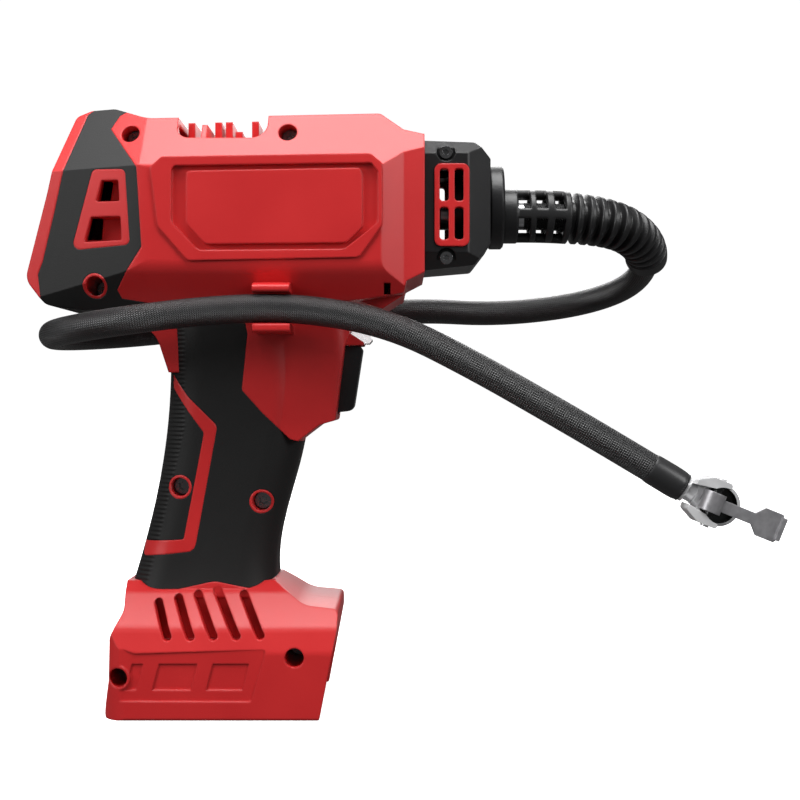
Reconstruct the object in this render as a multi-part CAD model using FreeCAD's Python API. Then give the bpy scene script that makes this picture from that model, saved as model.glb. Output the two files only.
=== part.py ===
import FreeCAD, Part
import math
import os

# Cordless pistol-grip tyre inflator, in millimetres.
# +X points to the nose, +Z up, and the housing parts along the plane Y = 0.
# The origin is on the ground, under the middle of the tool's length.

V = FreeCAD.Vector
FAR = 300.0                  # reach of a cutting or trimming solid

# ---- driving sizes ----
WALL = 2.8                   # moulded housing wall
SKIN = 1.5                   # depth of the rubber overmould
HOUSING_FRONT = 57.6         # where the red housing ends and the black collar starts
AIR_Z = 183.5                # height of the hose exit
NOSE_Z = 186.8               # height of the nose disc's centre
MOTOR_Z = 185.0              # height of the motor shaft
MOTOR_R = 18.0               # outside of the motor's steel can
CRADLES_X = (-50.0, -24.0)   # moulded ribs that hold the motor
CRANK_Z = 168.2              # height of the crank gear's shaft
PUMP_X = 27.0                # axis of the vertical cylinder
CRANK_THROW = 5.0            # half the pump's stroke
ROD_LENGTH = 24.0            # crank pin to wrist pin
HOSE_R = 5.1                 # radius over the braid
SCREW_HEAD_R = 3.1
SCREW_R = 1.5
BOSS_HOLE_R = 3.4            # sunk hole that takes a housing screw's head
BOSS_R = 4.4
HEAD_SEAT = 9.0              # depth of the screw heads from the parting plane

# Outlines are corners (a, b, radius).  Side outlines are in X and Z.
BARREL_SIDE = [
    (-66, 146.4, 6), (-79.5, 148.2, 4), (-86.8, 157.5, 6), (-78.6, 188, 60), (-71.4, 219, 3), (-66, 221.4, 4),
    (-57, 221.8, 6), (-44, 217.1, 14), (41.5, 219.2, 3), (50, 212.3, 1), (HOUSING_FRONT, 210.4, 0),
    (HOUSING_FRONT, 159.9, 0), (51, 156.6, 1), (50, 152.4, 1), (34, 150, 4),
]
BARREL_END = [               # in Y and Z
    (-12.4, 225.5, 0), (-34.2, 197.5, 2.5), (-34.2, 161, 9), (-21.5, 143, 0),
    (21.5, 143, 0), (34.2, 161, 9), (34.2, 197.5, 2.5), (12.4, 225.5, 0),
]
BARREL_PLAN = [              # in X and Y
    (-90, -25.5, 0), (-44, -34.2, 30), (42, -34.2, 1.5), (50, -30, 1), (HOUSING_FRONT, -28.4, 0),
    (HOUSING_FRONT, 28.4, 0), (50, 30, 1), (42, 34.2, 1.5), (-44, 34.2, 30), (-90, 25.5, 0),
]
REAR_FACET = [               # a plane that lowers the barrel's upper corner towards the rear
    (-44, 37.5, 193.3), (-44, 12.4, 225.5), (-110, 0.75, 221.6), (-110, 25.85, 189.4),
]
BEZEL_LINE = [
    (-62.5, 224), (-67.2, 219.5), (-71.5, 200.5), (-75.6, 182.2), (-80.2, 163.6), (-82, 159), (-80.2, 143),
]
BUMPER_FRONT = [
    (-47.5, 223), (-54.6, 218.6), (-57.2, 213.0), (-45.2, 196.8), (-43.4, 168.4),
    (-53.0, 153.4), (-51.6, 150.4), (-37.5, 148.2), (-37.5, 140),
]
GRIP_SECTIONS = [            # height, rear X, front X, half width, corner radius
    (154, -37.5, 12.0, 21.0, 13.0), (128, -36.9, 13.0, 20.5, 13.0), (104, -38.3, 13.2, 19.6, 13.0),
    (80, -42.1, 7.7, 19.2, 13.0), (56, -48.0, 2.7, 19.6, 13.0), (42, -52.0, 3.6, 22.0, 13.0),
]
TRIGGER_HOUSING = [
    (-20, 154, 0), (-20, 100, 0), (8, 96, 0), (13.6, 100.5, 3), (19, 104.6, 2), (25, 106.3, 1.2),
    (28.3, 134, 1), (30, 138.6, 1.5), (30, 154, 0),
]
BEAK = [(13.9, 138.2, 1), (15.8, 135, 1.2), (18.6, 133.8, 0.8), (36.6, 134.4, 0.6), (30.2, 138.6, 0.6)]
WEB = [(-66, 154, 0), (-66, 146.2, 4), (-41.5, 139.2, 9), (-36.5, 124, 0), (-25, 124, 0), (-25, 154, 0)]
TIP = [(33, 152.5, 0), (34.2, 149.9, 0), (42.3, 147.3, 0.5), (50, 152.3, 0.4), (50, 154, 0)]
FOOT_SIDE = [
    (-51.6, 47.5, 0), (-50.7, 38, 6), (-54.9, 29, 3), (-55.2, 14, 8), (-57.6, 0, 1.5),
    (20.0, 0, 1), (26.2, 32, 8), (26.4, 38.4, 2), (14, 39.6, 12), (3.0, 47.5, 0),
]
FOOT_END = [
    (-17, 47.5, 0), (-22.5, 44, 8), (-33.5, 32.5, 8), (-36.5, 24, 6), (-36.5, 0, 1),
    (36.5, 0, 1), (36.5, 24, 6), (33.5, 32.5, 8), (22.5, 44, 8), (17, 47.5, 0),
]
FOOT_PLAN = [(-57.6, -36.6, 10), (60, -36.6, 0), (60, 36.6, 0), (-57.6, 36.6, 10)]
RUBBER_FRONT = [             # where the grip's rubber meets the red trigger housing
    (-9.5, 150, 0), (-7, 138, 3), (-9.2, 117.5, 2), (-2, 109.4, 4), (8.4, 99.4, 3), (24, 95.5, 0),
    (24, 52, 0), (4.5, 49, 3), (-5, 44.8, 8), (-19, 47.6, 8), (-33, 44.6, 10), (-70, 43.4, 0),
    (-70, 150, 0),
]
STRIPE = [                   # red chevron that shows through the rubber
    (-35, 123.2, 0), (-29.2, 115.2, 3), (-18.2, 104.3, 3), (-26.6, 58.4, 3.5), (-46.3, 56.3, 1),
    (-46.3, 61.8, 0.5), (-30.6, 62.7, 1), (-23.1, 101.8, 2), (-28.9, 109.6, 3), (-35, 118.4, 0),
]
FRAME_PLATE = [              # raised frame on each side of the barrel
    (-40.3, 196.6, 2), (-36, 200.4, 2), (38.2, 201.6, 2), (42.4, 198, 1.5), (42.4, 176.2, 3),
    (34.2, 164.6, 3), (-26.9, 163.4, 3), (-37.5, 175.5, 4),
]
PANEL_RECESS = [
    (-32.6, 197.2, 2), (38.6, 198.2, 1.5), (40.9, 195, 1), (40.9, 177, 3), (28.8, 167.5, 3),
    (-22.9, 167.1, 3), (-32.6, 177, 3),
]
PANEL_PLATE = [
    (-27.4, 195.3, 1.5), (34.4, 196.4, 1.5), (35.3, 194, 1), (35.3, 175.3, 2.5), (29.6, 169.8, 3),
    (-20.7, 169.3, 3), (-27.4, 176.6, 2.5),
]
VENT_FRAME = [(-61.4, 196.4, 2), (-49.4, 196.2, 2), (-47.6, 169.2, 2), (-69.4, 167.5, 2.5)]
VENT_WINDOWS = [
    [(-58.1, 192.4, 0.6), (-51.9, 192.4, 0.6), (-51.5, 184.8, 0.6), (-60.2, 184.8, 0.6)],
    [(-62.0, 179.4, 0.6), (-51.1, 179.4, 0.6), (-50.7, 170.9, 0.6), (-64.6, 170.4, 0.6)],
]
VENT_LOUVRES = [             # slanted slots in the inner wall behind the windows
    [(-59.0, 193.2, 0.4), (-55.1, 193.2, 0.4), (-56.3, 186.0, 0.4), (-60.1, 186.0, 0.4)],
    [(-63.1, 179.8, 0.4), (-58.8, 179.8, 0.4), (-59.5, 171.7, 0.4), (-65.1, 171.7, 0.4)],
]
TOP_FINS = [                 # X and height of the louvres across the top opening
    (-29.2, 230), (-23.8, 214.2), (-19.2, 230), (-15.2, 230), (-11.5, 214.2), (-5.4, 230),
]
TOP_NOTCH = [(-32.4, 230, 0), (-32.4, 208.8, 4.5), (0.4, 208.8, 6), (0.4, 230, 0)]
FOOT_PANEL = [
    (-70, 27.6, 0), (-54, 27.2, 4), (-45.5, 23.8, 3), (1.2, 25.3, 1), (-0.8, 18.5, 2),
    (-4.2, 6.8, 1), (-70, 7.1, 0),
]
FOOT_TILES = [               # lower left corner X and width of each sunk parallelogram
    (-48.8, 3.9), (-39.2, 13.6), (-20.1, 12.8),
]
FOOT_VENTS = [               # top and bottom of each slanted slot
    ((-38.6, 40.4), (-34.2, 29.6)), ((-31.6, 41.8), (-26.0, 29.6)), ((-24.7, 43.0), (-17.8, 29.8)),
    ((-17.8, 44.4), (-9.6, 29.8)), ((-8.0, 43.0), (-1.1, 30.0)),
]
SCREW_PLACES = [
    (-49.4, 210.6), (7.9, 211.0), (-60.8, 154.8), (-32.0, 81.9), (-2.1, 76.6), (-51.4, 15.2), (11.2, 22.3),
]
HOSE_ROUTE = [               # centreline from the nose to the chuck
    (95.5, 0, 183.5), (125.8, 0, 183.5), (147.5, 19.6, 174.5), (147.5, 47, 162.2),
    (127, 66, 154.4), (90, 64, 150), (56, 50.5, 151.2), (16, 35, 147.1), (-16.7, 36.2, 145.4),
    (-53.4, 42.7, 141), (-82, 18.7, 138), (-82, -18.7, 137.8), (-53.4, -42.7, 141),
    (-16.7, -36.2, 146), (14, -34.6, 146.7), (46, -37, 140.6), (74, -41, 126.4), (105, -43.4, 108.6),
    (127, -44, 95.6), (147.5, -44, 83.2),
]
BOOT_EDGES = 4               # the boot covers the first four edges of the hose's path
BOOT_R = 9.6
CHUCK_AT = V(159, -44, 77.5)
CHUCK_TILT = 22.0            # degrees that the lever points below the horizontal

PLANES = {
    "XZ": (lambda a, b: V(a, 0, b), V(0, 1, 0)),
    "YZ": (lambda a, b: V(0, a, b), V(1, 0, 0)),
    "XY": (lambda a, b: V(a, b, 0), V(0, 0, 1)),
}
X, Y, Z = V(1, 0, 0), V(0, 1, 0), V(0, 0, 1)
nodes = {}


# ---- general shapes ----
def rounded_loop(corners, place):
    """Closed wire through the corners (a, b, radius), each one turned by a tangent arc."""
    points = [place(a, b) for a, b, _ in corners]
    turns = []
    for i, (_, _, radius) in enumerate(corners):
        back = (points[i - 1] - points[i]).normalize()
        on = (points[(i + 1) % len(points)] - points[i]).normalize()
        if radius <= 0:
            turns.append([points[i]])
            continue
        half = back.getAngle(on) / 2
        middle = (back + on).normalize()
        reach = radius / math.tan(half)
        centre = points[i] + middle * (radius / math.sin(half))
        turns.append([points[i] + back * reach, centre - middle * radius, points[i] + on * reach])
    edges = []
    for turn, following in zip(turns, turns[1:] + turns[:1]):
        if len(turn) == 3:
            edges.append(Part.Arc(*turn).toShape())
        if turn[-1].distanceToPoint(following[0]) > 1e-6:
            edges.append(Part.LineSegment(turn[-1], following[0]).toShape())
    return Part.Wire(edges)


def prism(corners, plane, low, high, inset=0.0):
    """Solid that stands on an outline in the named plane, from low to high along its normal."""
    place, normal = PLANES[plane]
    face = Part.Face(rounded_loop(corners, place))
    if inset:
        face = face.makeOffset2D(-inset)
    face.translate(normal * low)
    return face.extrude(normal * (high - low))


def sharp(points):
    """Corners with no rounding."""
    return [(a, b, 0) for a, b in points]


def box(low, high):
    return Part.makeBox(high[0] - low[0], high[1] - low[1], high[2] - low[2], V(*low))


def rod(start, axis, length, radius):
    return Part.makeCylinder(radius, length, V(*start), axis)


def ring(start, axis, length, outer, inner):
    """Round tube."""
    return rod(start, axis, length, outer).cut(rod(start, axis, length, inner))


def turned(profile, start, axis):
    """Solid of revolution from (distance along the axis, radius) pairs, closed on the axis."""
    points = [V(r, 0, d) for d, r in profile]
    points = [V(0, 0, profile[0][0])] + points + [V(0, 0, profile[-1][0])]
    face = Part.Face(Part.makePolygon(points + points[:1]))
    solid = face.revolve(V(0, 0, 0), Z, 360)
    solid.Placement = FreeCAD.Placement(V(*start), FreeCAD.Rotation(Z, axis))
    return solid


def join(shapes):
    """One shape from several that touch or overlap."""
    shapes = list(shapes)
    return shapes[0].multiFuse(shapes[1:]).removeSplitter() if len(shapes) > 1 else shapes[0]


def mirrored(shape):
    """The same shape on the other side of the parting plane."""
    return shape.mirror(V(0, 0, 0), Y)


def keep(name, shape, pieces=1):
    """Record a node after testing that it is made of the stated number of sound solids."""
    solids = shape.Solids
    assert len(solids) == pieces, f"{name}: {len(solids)} solids, not {pieces}"
    assert all(s.isValid() and s.Volume > 0 for s in solids), f"{name}: unsound"
    nodes[name] = solids[0] if pieces == 1 else Part.makeCompound(solids)


# ---- housing ----
def barrel(inset):
    """Motor and pump barrel: where its side, end and plan outlines meet."""
    side = prism(BARREL_SIDE, "XZ", -FAR, FAR, inset)
    end = prism(BARREL_END, "YZ", -FAR, FAR, inset)
    plan = prism(BARREL_PLAN, "XY", 0, FAR, inset)
    corners = [V(*p) for p in REAR_FACET]
    outward = (corners[1] - corners[0]).cross(corners[3] - corners[0]).normalize()
    outward = outward if outward.y > 0 else -outward
    facet = Part.Face(Part.makePolygon(corners + corners[:1])).extrude(outward * 60)
    facet.translate(outward * -inset)
    return side.common(end).common(plan).cut(facet).cut(mirrored(facet))


def grip(inset):
    """Handle, lofted through rounded rectangles that lean back towards the foot."""
    wires = []
    for height, rear, front, half, radius in GRIP_SECTIONS:
        corners = [(rear, -half), (front, -half), (front, half), (rear, half)]
        middle = (rear + front) / 2
        shrunk = [
            (x + math.copysign(inset, middle - x), y - math.copysign(inset, y), radius - inset)
            for x, y in corners
        ]
        wires.append(rounded_loop(shrunk, lambda a, b, z=height: V(a, b, z)))
    return Part.makeLoft(wires, True, False)


def trigger_housing(inset):
    """Red block ahead of the grip that the trigger slides in."""
    side = prism(TRIGGER_HOUSING, "XZ", -FAR, FAR, inset)
    plan = prism(
        [(-24, -20.3, 0), (30.5, -17.5, 7), (30.5, 17.5, 7), (-24, 20.3, 0)], "XY", 90, 154, inset
    )
    return side.common(plan)


def foot(inset):
    """Battery foot, where its side, end and plan outlines meet."""
    side = prism(FOOT_SIDE, "XZ", -FAR, FAR, inset)
    end = prism(FOOT_END, "YZ", -FAR, FAR, inset)
    return side.common(end).common(prism(FOOT_PLAN, "XY", -FAR, FAR, inset))


def hose_clip(side):
    """Pair of lips that hold the hose against the neck; side is -1 or +1."""
    upper = prism([(15, 152, 0), (39.4, 152, 1), (39.4, 154.4, 1), (34.5, 155.6, 0), (15, 155.6, 0)],
                  "YZ", -3.6, 9.6)
    lower = prism([(14, 137.8, 0), (39.4, 137.8, 1), (39.4, 140.9, 1), (14, 140.9, 0)], "YZ", -3.4, 9.8)
    both = Part.makeCompound([upper, lower])
    return both if side > 0 else mirrored(both)


def rubber_band(outer, inner, region):
    """Layer between two nested solids, kept where the side outline covers it."""
    return outer.common(region).cut(inner)


def boss_rods(radius, start=-FAR, end=FAR):
    return [rod((x, start, z), Y, end - start, radius) for x, z in SCREW_PLACES]


outer_barrel = barrel(0)
outer_grip = grip(0)
outer_foot = foot(0)
web = prism(WEB, "XZ", -17, 17)
clips = [hose_clip(-1), hose_clip(1)]
beak = prism(BEAK, "XZ", -11, 11)
tip = prism(TIP, "XZ", -19, 19)
frames = [prism(FRAME_PLATE, "XZ", 20, 35.1)]
frames.append(mirrored(frames[0]))
rubber_zone = prism(RUBBER_FRONT, "XZ", -FAR, FAR).cut(box((-90, -FAR, 149.0), (0, FAR, 160)))
trigger_block = trigger_housing(0).cut(rubber_zone)
baffles = [box((-43, y - 0.6, 26), (2, y + 0.6, 50)).common(foot(1)) for y in (-20, 20)]
envelope = join([outer_barrel, outer_grip, trigger_block, outer_foot, web, beak, tip] + clips + frames)

bay = box((-52.1, -33.7, -1), (60, 33.7, 24))
rails = [box((-50, side * 32.2 - 2.5, 8), (17.5, side * 32.2 + 2.5, 11.5)) for side in (-1, 1)]
lead_hole = box((-26, -7, 20), (-14, 7, 32))
foot_room = foot(WALL).common(box((-FAR, -FAR, 26.6), (22, FAR, 60)))
hollow = join([barrel(WALL), grip(WALL), trigger_housing(WALL), foot_room])
hollow = hollow.cut(Part.makeCompound(baffles))

recess = prism(PANEL_RECESS, "XZ", 33.0, 40).cut(prism(PANEL_PLATE, "XZ", 33.0, 34.9))
foot_panel = prism(FOOT_PANEL, "XZ", 36.0, 40)
tile_height, tile_low, tile_lean = 9.2, 10.9, 2.4
tiles = [
    prism(sharp([(x, tile_low), (x + w, tile_low), (x + w + tile_lean, tile_low + tile_height),
                 (x + tile_lean, tile_low + tile_height)]), "XZ", 35.5, 40)
    for x, w in FOOT_TILES
]
SLOT_HALF = 1.55


def slot_outline(top, bottom):
    """Slanted slot with straight sides, as wide as its round ends."""
    lean = V(bottom[0] - top[0], bottom[1] - top[1], 0).normalize()
    across = V(-lean.y, lean.x, 0) * SLOT_HALF
    corners = []
    for point, end in ((top, -1), (bottom, 1)):
        for side in (end, -end):
            corners.append((point[0] + across.x * side + lean.x * end * SLOT_HALF,
                            point[1] + across.y * side + lean.y * end * SLOT_HALF, SLOT_HALF * 0.96))
    return corners


vents = [prism(slot_outline(t, b), "XZ", 21, 40) for t, b in FOOT_VENTS]
windows = [prism(w, "XZ", 12, 40) for w in VENT_WINDOWS]
relief = [recess, foot_panel] + tiles + vents + windows
notch = prism(TOP_NOTCH, "XZ", -FAR, FAR)
front_slot = box((42.9, -FAR, 151.8), (45.3, FAR, 155.9))
nose_opening = rod((50, 0, NOSE_Z), X, 20, 17)
trigger_slot = box((14, -8.4, 108.6), (40, 8.4, 134.6))
lens_seat = box((26.6, -7, 134.6), (45, 7, 140.2))

shell = envelope.cut(hollow)
for opening in (bay, notch, front_slot, nose_opening, trigger_slot, lens_seat, lead_hole):
    shell = shell.cut(opening)
shell = shell.cut(Part.makeCompound(relief)).cut(Part.makeCompound([mirrored(s) for s in relief]))

# Rear end: a bezel carries the display panel on the slanted back face.
REAR_LEAN = math.degrees(math.atan2(85.8 - 67.7, 217.2 - 156.5))
rear_place = FreeCAD.Placement(V(-77.75, 0, 186.55), FreeCAD.Rotation(Y, REAR_LEAN))
PANEL_HALF_WIDTH, PANEL_HALF_HEIGHT = 19.0, 24.0


def on_rear(shape):
    """Move a shape made with its outer face at X = 0 on to the slanted back face."""
    moved = shape.copy()
    moved.Placement = rear_place.multiply(moved.Placement)
    return moved


def rear_plate(half_width, half_height, radius, low, high):
    corners = [(-half_width, -half_height), (half_width, -half_height),
               (half_width, half_height), (-half_width, half_height)]
    return prism([(a, b, radius) for a, b in corners], "YZ", low, high)


bezel_zone = prism(sharp(BEZEL_LINE + [(-120, 143), (-120, 221.5)]), "XZ", -FAR, FAR)
bumper_zone = prism(sharp(BEZEL_LINE[::-1] + BUMPER_FRONT), "XZ", -FAR, FAR)
panel_hole = on_rear(rear_plate(PANEL_HALF_WIDTH, PANEL_HALF_HEIGHT, 4, -10, 20))
bezel = outer_barrel.common(bezel_zone).cut(panel_hole)
shell = shell.cut(bezel_zone).cut(panel_hole)

vent_frames = [prism(VENT_FRAME, "XZ", 20, 40)]
vent_frames.append(mirrored(vent_frames[0]))
bumper = rubber_band(outer_barrel.fuse(web), barrel(SKIN).fuse(web.scaled(0.9, V(-40, 0, 150))), bumper_zone)
bumper = bumper.cut(outer_grip).cut(Part.makeCompound(vent_frames + boss_rods(BOSS_R) + [notch]))

stripe = prism(STRIPE, "XZ", -FAR, FAR)
rubber = rubber_band(outer_grip, grip(SKIN), rubber_zone)
rubber = rubber.cut(Part.makeCompound([stripe, outer_barrel, web] + clips + boss_rods(BOSS_R)))

screw_bosses = Part.makeCompound(boss_rods(BOSS_R)).common(envelope.cut(bezel_zone))


FIN_HALF = 1.3
gaps = [(a + FIN_HALF, b - FIN_HALF) for (a, _), (b, _) in zip(TOP_FINS, TOP_FINS[1:])]
fin_floor = box((-33, -26, 206.2), (1, 26, 208.6)).common(barrel(WALL - 0.2))
fin_floor = fin_floor.cut(Part.makeCompound([box((a + 0.5, -7, 205), (b - 0.5, 7, 210)) for a, b in gaps]))

louvre_wall = prism(VENT_FRAME, "XZ", 22.5, 40).common(barrel(WALL - 0.2))
for outline in VENT_WINDOWS:
    louvre_wall = louvre_wall.cut(prism(outline, "XZ", 24.4, 40))
for outline in VENT_LOUVRES:
    louvre_wall = louvre_wall.cut(prism(outline, "XZ", 20, 40))
louvre_walls = Part.makeCompound([louvre_wall, mirrored(louvre_wall)])


def half_housing(side):
    """One moulded half: side is -1 for the right half and +1 for the left one."""
    room = box((-FAR, min(0, side * FAR), -1), (FAR, max(0, side * FAR), FAR))
    half = shell.common(room)
    cradle = [box((x, -40, 150), (x + 2, 40, 215)) for x in CRADLES_X]
    cradle = Part.makeCompound(cradle).common(barrel(WALL - 0.2))
    cradle = cradle.cut(rod((-90, 0, MOTOR_Z), X, 90, MOTOR_R)).cut(box((-90, -9, 150), (0, 9, 170)))
    fins = [box((x - FIN_HALF, -8, 207), (x + FIN_HALF, 8, top)) for x, top in TOP_FINS]
    fins = Part.makeCompound(fins).common(outer_barrel)
    half = join([half, cradle.common(room), fins.common(room), fin_floor.common(room),
                 louvre_walls.common(room), screw_bosses.common(room)]
                + [r.common(room) for r in rails])
    if side < 0:
        holes = boss_rods(BOSS_HOLE_R, -FAR, -HEAD_SEAT) + boss_rods(SCREW_R + 0.2, -HEAD_SEAT - 1, 1)
    else:
        holes = boss_rods(SCREW_R, -1, 13)
    return half.cut(Part.makeCompound(holes)).cut(Part.makeCompound([bumper, rubber]))


def halves(shape):
    """The right and left parts of a shape."""
    right = shape.common(box((-FAR, -FAR, -FAR), (FAR, 0, FAR)))
    left = shape.common(box((-FAR, 0, -FAR), (FAR, FAR, FAR)))
    return right, left


housings = [half_housing(-1), half_housing(1)]
keep("housing_right", housings[0])
keep("housing_left", housings[1])
for name, shape in (("rear_bumper", bumper), ("grip_overmould", rubber)):
    right, left = halves(shape)
    keep(name + "_right", right)
    keep(name + "_left", left)
keep("rear_bezel", bezel)


# ---- screws ----
def screw(x, z, side, seat, head_radius, length):
    """Pan-head screw along Y with a six-lobed socket; its head bears at Y = side * seat."""
    direction = V(0, -side, 0)
    top = V(x, side * (seat + 2.4), z)
    body = Part.makeCylinder(head_radius, 2.4, top, direction)
    shank = Part.makeCylinder(SCREW_R, length + 2.4, top, direction)
    lobes = [(x + r * math.cos(a), z + r * math.sin(a), 0)
             for a, r in ((i * math.pi / 6, head_radius * (0.52 if i % 2 else 0.4)) for i in range(12))]
    low, high = sorted((side * (seat + 1.1), side * (seat + 3)))
    return body.fuse(shank).cut(prism(lobes, "XZ", low, high))


keep("housing_screws", Part.makeCompound(
    [screw(x, z, -1, HEAD_SEAT, SCREW_HEAD_R, 21) for x, z in SCREW_PLACES]), len(SCREW_PLACES))

# ---- display on the back ----
DISPLAY_WINDOW = (12.5, 8.0, 10.5)     # half width, half height, height above the panel's middle
BUTTONS = {"button_minus": (-9.5, -5.5), "button_plus": (9.5, -5.5),
           "button_mode": (-9.5, -16.5), "button_power": (9.5, -16.5)}
BUTTON_R, BUTTON_GAP = 3.6, 0.3
half_w, half_h, rise = DISPLAY_WINDOW
window = [(-half_w, rise - half_h, 1.5), (half_w, rise - half_h, 1.5),
          (half_w, rise + half_h, 1.5), (-half_w, rise + half_h, 1.5)]
panel = rear_plate(PANEL_HALF_WIDTH, PANEL_HALF_HEIGHT, 4, 0.8, 3.2).cut(prism(window, "YZ", 0, 5))
for place_y, place_z in BUTTONS.values():
    panel = panel.cut(rod((0, place_y, place_z), X, 5, BUTTON_R + BUTTON_GAP))
keep("display_panel", on_rear(panel))
keep("display_lens", on_rear(prism(window, "YZ", 0.9, 2.6)))
board = rear_plate(17, 21.5, 1, 6.4, 8.0)
glass = box((3.4, -half_w + 1, rise - half_h + 1), (6.4, half_w - 1, rise + half_h - 1))
keep("display_board", on_rear(board.fuse(glass)))
for name, (place_y, place_z) in BUTTONS.items():
    cap = rod((-0.2, place_y, place_z), X, 3.9, BUTTON_R)
    cap = cap.makeFillet(0.5, [e for e in cap.Edges if abs(e.BoundBox.XMax + 0.2) < 1e-3])
    flange = rod((3.5, place_y, place_z), X, 0.9, BUTTON_R + 0.9)
    stem = rod((4.4, place_y, place_z), X, 0.9, 1.2)
    keep(name, on_rear(join([cap, flange, stem])))


# ---- motor ----
CAN_BACK, CAN_FRONT = -54.0, -14.0
SHAFT_R, RUNNING = 1.6, 0.05


def on_shaft(x):
    return (x, 0, MOTOR_Z)


def around_shaft(shape, count, first=0.0):
    """Copies of a shape made about the X axis, turned evenly and lifted to the motor shaft."""
    copies = []
    for i in range(count):
        copy = shape.copy()
        copy.rotate(V(0, 0, 0), X, first + i * 360.0 / count)
        copy.translate(V(0, 0, MOTOR_Z))
        copies.append(copy)
    return copies


shaft_hole = rod(on_shaft(-80), X, 80, SHAFT_R + RUNNING)
can = rod(on_shaft(CAN_BACK), X, CAN_FRONT - CAN_BACK, MOTOR_R).cut(rod(on_shaft(CAN_BACK), X, 38.2, 16.6))
keep("motor_can", can.cut(shaft_hole))
cap_slots = around_shaft(box((-60, -3.2, 8), (-50, 3.2, 14)), 4, 45)
keep("motor_endcap", rod(on_shaft(-57), X, 3, 17.2).cut(shaft_hole).cut(Part.makeCompound(cap_slots)))
magnet_gap = box((-60, -30, MOTOR_Z - 4), (0, 30, MOTOR_Z + 4))
keep("motor_magnets", ring(on_shaft(-50), X, 30, 16.6, 13.4).cut(magnet_gap), 2)
keep("motor_shaft", rod(on_shaft(-62.5), X, 60.5, SHAFT_R))
winding_slots = around_shaft(box((-49, -1.1, 6.5), (-21, 1.1, 14)), 5)
keep("motor_armature", ring(on_shaft(-48), X, 26, 12.8, SHAFT_R).cut(Part.makeCompound(winding_slots)))
blade = box((-1.5, -0.5, 3.6), (1.5, 0.5, 14.6))
blade.rotate(V(0, 0, 0), Z, 18)
blade.translate(V(-60.4, 0, 0))
fan = [ring(on_shaft(-62), X, 4.2, 4, SHAFT_R), ring(on_shaft(-59.2), X, 1.2, 15, 3.5)]
keep("motor_fan", join(fan + around_shaft(blade, 9)))

# ---- reduction gears ----
MODULE, PRESSURE = 0.6, math.radians(25)
PINION_TEETH, GEAR_TEETH = 12, 44
BACKLASH = 0.12
CRANK_SHAFT_R, BEARING_R = 3.0, 6.5


def involute(angle):
    return math.tan(angle) - angle


def spur_gear(teeth, centre_z, start, width, turn):
    """Spur gear along X with involute flanks; its first tooth points to +Z, plus turn."""
    pitch = MODULE * teeth / 2
    base, tip, root = pitch * math.cos(PRESSURE), pitch + MODULE * 0.95, pitch - MODULE * 1.25
    half = (math.pi * MODULE / 2 - BACKLASH) / 2 / pitch + involute(PRESSURE)
    low = max(base, root)
    radii = [low + (tip - low) * k / 5 for k in range(6)]
    flank = [(r, half - involute(math.acos(base / r))) for r in radii]
    profile = [(root, min(flank[0][1] + 0.02, math.pi / teeth - 0.003))] + flank
    points = []
    for i in range(teeth):
        middle = turn + i * 2 * math.pi / teeth
        for r, away in [(r, -a) for r, a in profile] + [(r, a) for r, a in profile[::-1]]:
            points.append((r * math.sin(middle + away), centre_z + r * math.cos(middle + away)))
    return prism(sharp(points), "YZ", start, start + width)


def on_crank(x):
    return (x, 0, CRANK_Z)


pinion = spur_gear(PINION_TEETH, MOTOR_Z, -9.5, 7, math.pi / PINION_TEETH)
keep("pinion", pinion.cut(rod(on_shaft(-20), X, 30, SHAFT_R)))
lightening = [rod((-20, 8.3 * math.sin(i * math.pi / 3), CRANK_Z + 8.3 * math.cos(i * math.pi / 3)), X, 30, 2.1)
              for i in range(6)]
gear = spur_gear(GEAR_TEETH, CRANK_Z, -9, 6, 0).cut(rod(on_crank(-20), X, 30, CRANK_SHAFT_R))
keep("crank_gear", gear.cut(Part.makeCompound(lightening)))
disc = rod(on_crank(17), X, 5, 10).cut(box((10, -12, CRANK_Z + 5.5), (30, 12, CRANK_Z + 12)))
keep("crankshaft", rod(on_crank(-10.5), X, 28, CRANK_SHAFT_R).fuse(disc))
bearings = [ring(on_crank(x), X, 4, BEARING_R, CRANK_SHAFT_R + RUNNING) for x in (0, 10.5)]
keep("shaft_bearings", Part.makeCompound(bearings), 2)

# ---- gearbox and pump ----
CYLINDER_BORE = 10.0
WRIST_R, BIG_END_R, CRANK_PIN_R = 1.5, 5.2, 2.5


def on_pump(z):
    return (PUMP_X, 0, z)


frame = join([
    box((-13.8, -16.6, 157), (-11.8, 16.6, 199)),
    box((-12, 14.6, 160), (1, 16.6, 184)), box((-12, -16.6, 160), (1, -14.6, 184)),
    box((-0.5, -16.6, 157), (15, 16.6, 184)), box((14.5, -14, 180.5), (41, 14, 184)),
])
frame_holes = [rod(on_shaft(-20), X, 12, 7), rod(on_crank(-20), X, 12, 4), rod(on_crank(-5), X, 30, BEARING_R),
               rod(on_pump(170), Z, 20, 12), box((-2, -5, 176), (12, 5, 190))]
keep("gearbox_frame", frame.cut(Part.makeCompound(frame_holes[:3])).cut(frame_holes[3]).cut(frame_holes[4]))
fins = [ring(on_pump(186.5 + 3.2 * i), Z, 1.4, 14.2, 11.5) for i in range(5)]
keep("cylinder", join([ring(on_pump(180.5), Z, 24.5, 12, CYLINDER_BORE)] + fins))
head = box((PUMP_X - 13, -13, 205), (PUMP_X + 13, 13, 211)).common(rod(on_pump(200), Z, 20, 16.2))
HEAD_BOLTS = [(PUMP_X + a, b) for a in (-9.6, 9.6) for b in (-9.6, 9.6)]
for hole in [rod(on_pump(200), Z, 7.5, 3), rod((PUMP_X, 0, 208), X, 30, 1.9)]:
    head = head.cut(hole)
head = head.cut(Part.makeCompound([Part.makeCylinder(1.5, 20, V(a, b, 198)) for a, b in HEAD_BOLTS]))
keep("cylinder_head", head)
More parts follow.
